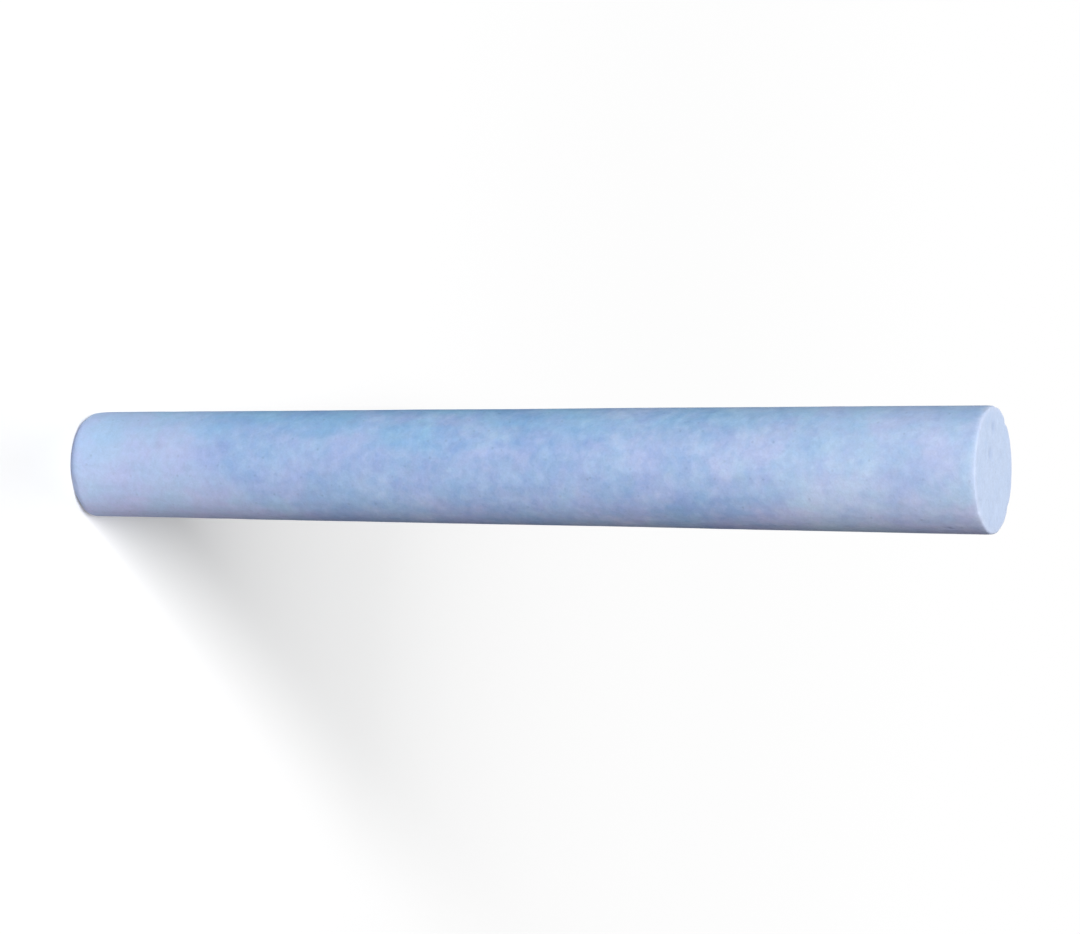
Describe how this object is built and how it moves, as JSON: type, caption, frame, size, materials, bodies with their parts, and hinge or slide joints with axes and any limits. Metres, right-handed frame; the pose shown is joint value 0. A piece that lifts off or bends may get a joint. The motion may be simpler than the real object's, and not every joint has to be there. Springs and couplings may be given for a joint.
{
  "type": "chalk stick",
  "caption": "Round tapered stick of pale blue moulded blackboard chalk with flat ends, standing on its small end.",
  "frame": {"origin": "centre of the small end's flat face, which the stick stands on", "axes": "+Z along the stick's axis, from the small end up to the large end; the stick is round, so X and Y are any two directions square to it"},
  "size_m": [0.0104, 0.0104, 0.08],
  "materials": {
    "blue_chalk": "dry powdery matte chalk, pale blue with cloudy paler and deeper patches"
  },
  "bodies": {
    "root": {"chalk_stick": "blue_chalk"}
  },
  "joints": []
}
